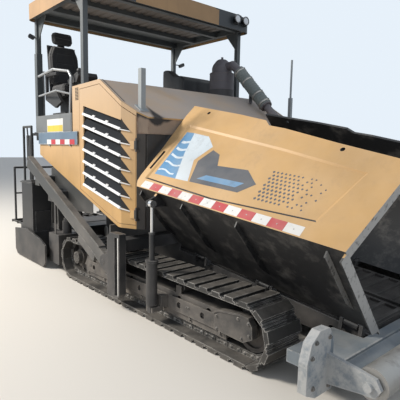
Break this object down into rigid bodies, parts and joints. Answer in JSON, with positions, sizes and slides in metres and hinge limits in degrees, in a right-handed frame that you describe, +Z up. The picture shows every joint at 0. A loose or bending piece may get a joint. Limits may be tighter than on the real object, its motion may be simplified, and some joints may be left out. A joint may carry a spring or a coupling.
{
  "type": "tracked asphalt paver",
  "caption": "Self-propelled paver on crawler tracks: folding hopper in front, slat conveyor, augers and a sliding screed behind, operator canopy above.",
  "frame": {"origin": "on the ground, at the middle of the whole machine", "axes": "+X forward towards the hopper, +Y to the machine's left, +Z up"},
  "size_m": [6.307, 3.38, 3.781],
  "materials": {
    "yellow": "faded ochre-yellow enamel, dusty, worn at its edges",
    "roof_paint": "faded ochre-yellow enamel on the roof",
    "dark_frame": "dark grey frame paint, dusty and chipped",
    "arm_grey": "light grey paint, scuffed",
    "beam_blue": "blue-grey paint, worn bright at its edges",
    "canopy_grey": "grey-green frame paint",
    "track_steel": "dusty worn track steel",
    "worn_steel": "steel worn bright, with dried asphalt",
    "chrome_rod": "polished hard chrome",
    "rust_sheet": "dull beige primer over rust",
    "hopper_steel": "blackened hopper plate with asphalt film",
    "rail_silver": "dull silvery rail",
    "seat_frame": "black moulded plastic",
    "seat_cover": "black seat cloth",
    "dust_cover": "black dust cover of coated cloth",
    "lamp_housing": "black lamp housing",
    "engine_grey": "dusty engine grey"
  },
  "bodies": {
    "root": {"main_frame": "dark_frame", "track_frame_right": "dark_frame", "track_frame_left": "dark_frame", "track_right": "track_steel", "track_left": "track_steel", "track_wheels_right": "track_steel", "track_wheels_left": "track_steel", "engine_block": "engine_grey", "side_body_right": "yellow", "side_body_left": "yellow", "hood": "yellow", "apron": "rust_sheet", "hopper_rear_wall": "hopper_steel", "conveyor": "hopper_steel", "push_beam": "beam_blue", "tow_guide_right": "dark_frame", "tow_guide_left": "dark_frame", "tow_rods": "chrome_rod", "auger_frame": "dark_frame", "platform": "dark_frame", "edge_beams": "beam_blue", "skirt_plates": "arm_grey", "cabinet": "arm_grey", "console": "seat_frame", "covered_console": "dust_cover", "seat_base": "seat_frame", "seat_cushion": "seat_cover", "seat_back": "seat_cover", "handrails": "rail_silver", "canopy_frame": "canopy_grey", "canopy_roof": "roof_paint", "lamps": "lamp_housing", "mirrors": "lamp_housing", "exhaust": "canopy_grey"},
    "wing_right": {"wing_right": "yellow"},
    "wing_left": {"wing_left": "yellow"},
    "barrel_right": {"barrel_right": "dark_frame"},
    "barrel_left": {"barrel_left": "dark_frame"},
    "rod_right": {"rod_right": "chrome_rod"},
    "rod_left": {"rod_left": "chrome_rod"},
    "push_roller_right": {"push_roller_right": "worn_steel"},
    "push_roller_left": {"push_roller_left": "worn_steel"},
    "door_right": {"door_right": "yellow"},
    "door_left": {"door_left": "yellow"},
    "auger_right": {"auger_right": "worn_steel"},
    "auger_left": {"auger_left": "worn_steel"},
    "screed": {"screed_arm_right": "arm_grey", "screed_arm_left": "arm_grey", "screed_main": "dark_frame"},
    "extension_right": {"screed_extension_right": "dark_frame", "end_gate_right": "dark_frame", "screed_walk_right": "dark_frame"},
    "extension_left": {"screed_extension_left": "dark_frame", "end_gate_left": "dark_frame", "screed_walk_left": "dark_frame"}
  },
  "joints": [
    {"name": "wing_right_fold", "type": "hinge", "parent": "root", "child": "wing_right", "pos_m": [0.5085, -0.762, 0.557], "axis": [0.9951, 0, -0.0993], "range_deg": [0, 16]},
    {"name": "cylinder_right_tilt", "type": "hinge", "parent": "root", "child": "barrel_right", "pos_m": [0.8985, -1.536, 0.18], "axis": [1, 0, 0], "range_deg": [0, 11.39]},
    {"name": "cylinder_right_slide", "type": "slide", "parent": "barrel_right", "child": "rod_right", "axis": [0, 0, 1], "range_m": [-0.2239, 0]},
    {"name": "push_roller_right_spin", "type": "hinge", "parent": "root", "child": "push_roller_right", "pos_m": [3.0485, 0, 0.31], "axis": [0, 1, 0], "continuous": true},
    {"name": "door_right_swing", "type": "hinge", "parent": "root", "child": "door_right", "pos_m": [0.3225, -1.333, 1.4], "axis": [0, 0, 1], "range_deg": [0, 80]},
    {"name": "auger_right_spin", "type": "hinge", "parent": "root", "child": "auger_right", "pos_m": [-1.5515, 0, 0.33], "axis": [0, 1, 0], "continuous": true},
    {"name": "wing_left_fold", "type": "hinge", "parent": "root", "child": "wing_left", "pos_m": [0.5085, 0.762, 0.557], "axis": [-0.9951, 0, 0.0993], "range_deg": [0, 16]},
    {"name": "cylinder_left_tilt", "type": "hinge", "parent": "root", "child": "barrel_left", "pos_m": [0.8985, 1.536, 0.18], "axis": [-1, 0, 0], "range_deg": [0, 11.39]},
    {"name": "cylinder_left_slide", "type": "slide", "parent": "barrel_left", "child": "rod_left", "axis": [0, 0, 1], "range_m": [-0.2239, 0]},
    {"name": "push_roller_left_spin", "type": "hinge", "parent": "root", "child": "push_roller_left", "pos_m": [3.0485, 0, 0.31], "axis": [0, 1, 0], "continuous": true},
    {"name": "door_left_swing", "type": "hinge", "parent": "root", "child": "door_left", "pos_m": [0.3225, 1.333, 1.4], "axis": [0, 0, -1], "range_deg": [0, 80]},
    {"name": "auger_left_spin", "type": "hinge", "parent": "root", "child": "auger_left", "pos_m": [-1.5515, 0, 0.33], "axis": [0, 1, 0], "continuous": true},
    {"name": "screed_lift", "type": "hinge", "parent": "root", "child": "screed", "pos_m": [0.0485, 0, 0.47], "axis": [0, 1, 0], "range_deg": [0, 6]},
    {"name": "extension_right_slide", "type": "slide", "parent": "screed", "child": "extension_right", "axis": [0, -1, 0], "range_m": [0, 0.85]},
    {"name": "extension_left_slide", "type": "slide", "parent": "screed", "child": "extension_left", "axis": [0, 1, 0], "range_m": [0, 0.85]}
  ],
  "couplings": [
    {"joint": "cylinder_right_tilt", "follows": "wing_right_fold", "ratio": 0.7118},
    {"joint": "cylinder_right_slide", "follows": "wing_right_fold", "m_per_rad": -0.8018},
    {"joint": "cylinder_left_tilt", "follows": "wing_left_fold", "ratio": 0.7118},
    {"joint": "cylinder_left_slide", "follows": "wing_left_fold", "m_per_rad": -0.8018}
  ]
}
